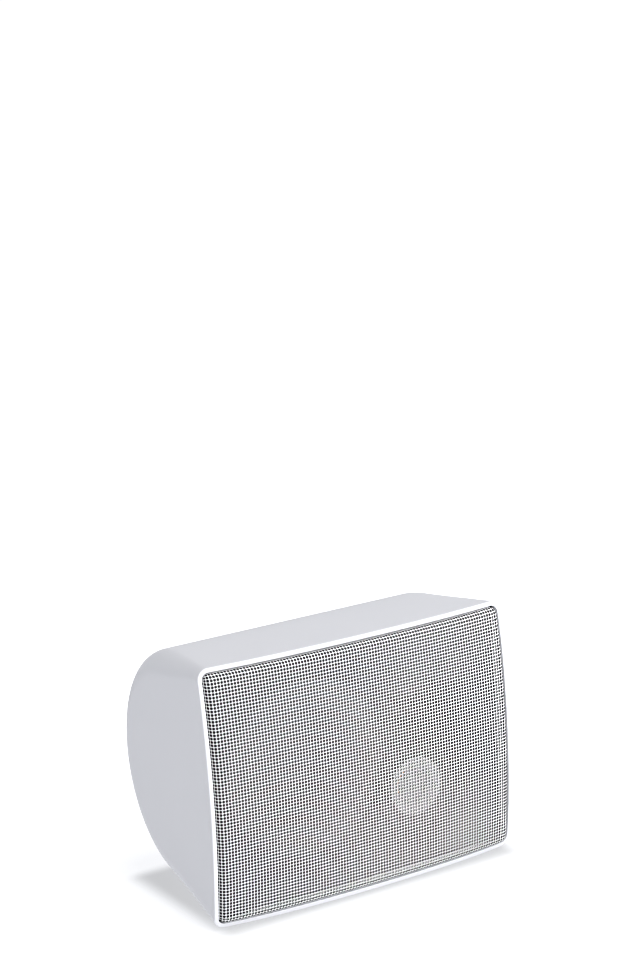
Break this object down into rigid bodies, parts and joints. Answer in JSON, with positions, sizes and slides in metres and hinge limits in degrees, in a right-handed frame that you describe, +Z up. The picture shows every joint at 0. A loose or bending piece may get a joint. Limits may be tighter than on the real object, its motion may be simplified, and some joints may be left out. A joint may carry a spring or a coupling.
{
  "type": "wall speaker",
  "caption": "Wall speaker with a D-section moulded cabinet, bowed perforated grille, cone and dome drivers, threaded inserts in the rear pad and push terminals.",
  "frame": {"origin": "middle of the rear mounting pad, midway between the two threaded inserts, on the pad's face", "axes": "+X to the right side seen from the front, +Z up, the front grille faces -Y and stands upright, +Y points into the wall"},
  "size_m": [0.266, 0.174, 0.2],
  "materials": {
    "cabinet_white": "satin moulded plastic, fine texture",
    "grille_white": "powder-coated perforated steel",
    "black_plastic": "matt black",
    "black_steel": "black coated steel",
    "zinc_steel": "zinc plated",
    "ferrite": "dark sintered ferrite",
    "brass": "turned",
    "foam": "closed-cell foam",
    "fibre_board": "pressed fibre",
    "cone_paper": "coated pulp",
    "copper": "enamelled copper wire",
    "surround_rubber": "matt",
    "spider_cloth": "resin-dipped cotton",
    "silver_plastic": "silver painted plastic",
    "dome_silver": "bright anodised",
    "dome_cloth": "coated cloth",
    "board_green": "solder-masked board",
    "capacitor_blue": "shrink sleeve",
    "ceramic_white": "matt",
    "lever_red": "gloss",
    "lever_black": "gloss",
    "wire_red": "PVC sleeve",
    "wire_blue": "PVC sleeve",
    "wire_grey": "PVC sleeve"
  },
  "bodies": {
    "cabinet": {"cabinet_shell": "cabinet_white", "rear_pad": "cabinet_white", "wall_inserts": "brass", "grille": "grille_white", "baffle": "black_plastic", "baffle_screws": "black_steel", "woofer_gasket": "foam", "woofer_basket": "black_steel", "woofer_screws": "black_steel", "woofer_top_plate": "zinc_steel", "woofer_magnet": "ferrite", "woofer_yoke": "zinc_steel", "woofer_terminal": "fibre_board", "woofer_surround": "surround_rubber", "woofer_spider": "spider_cloth", "tweeter_faceplate": "silver_plastic", "tweeter_surround": "dome_cloth", "tweeter_top_plate": "zinc_steel", "tweeter_magnet": "ferrite", "tweeter_yoke": "zinc_steel", "tweeter_screws": "zinc_steel", "crossover_board": "board_green", "crossover_inductor": "copper", "crossover_capacitors": "capacitor_blue", "crossover_resistor": "ceramic_white", "board_screws": "zinc_steel", "terminal_gasket": "foam", "terminal_cup": "black_plastic", "terminal_block": "black_plastic", "terminal_screws": "black_steel", "lever_pins": "zinc_steel", "terminal_contacts": "brass", "input_wires": "wire_red", "woofer_wires": "wire_blue", "tweeter_wires": "wire_grey"},
    "cone_assembly": {"woofer_cone": "cone_paper", "woofer_dust_cap": "cone_paper", "voice_coil": "copper"},
    "dome_assembly": {"tweeter_dome": "dome_silver", "tweeter_coil": "copper"},
    "red_lever": {"terminal_lever_red": "lever_red"},
    "black_lever": {"terminal_lever_black": "lever_black"}
  },
  "joints": [
    {"name": "cone_travel", "type": "slide", "parent": "cabinet", "child": "cone_assembly", "axis": [0, -1, 0], "range_m": [-0.003, 0.003], "stiffness_N_per_m": 1200, "deforming": ["woofer_surround", "woofer_spider"]},
    {"name": "dome_travel", "type": "slide", "parent": "cabinet", "child": "dome_assembly", "axis": [0, -1, 0], "range_m": [-0.0003, 0.0003], "stiffness_N_per_m": 2000, "deforming": ["tweeter_surround"]},
    {"name": "red_lever_push", "type": "hinge", "parent": "cabinet", "child": "red_lever", "pos_m": [0.011, -0.013, 0.0115], "axis": [-1, 0, 0], "range_deg": [0, 20], "stiffness_Nm_per_rad": 0.05, "springref_deg": -11.46},
    {"name": "black_lever_push", "type": "hinge", "parent": "cabinet", "child": "black_lever", "pos_m": [-0.011, -0.013, 0.0115], "axis": [-1, 0, 0], "range_deg": [0, 20], "stiffness_Nm_per_rad": 0.05, "springref_deg": -11.46}
  ]
}
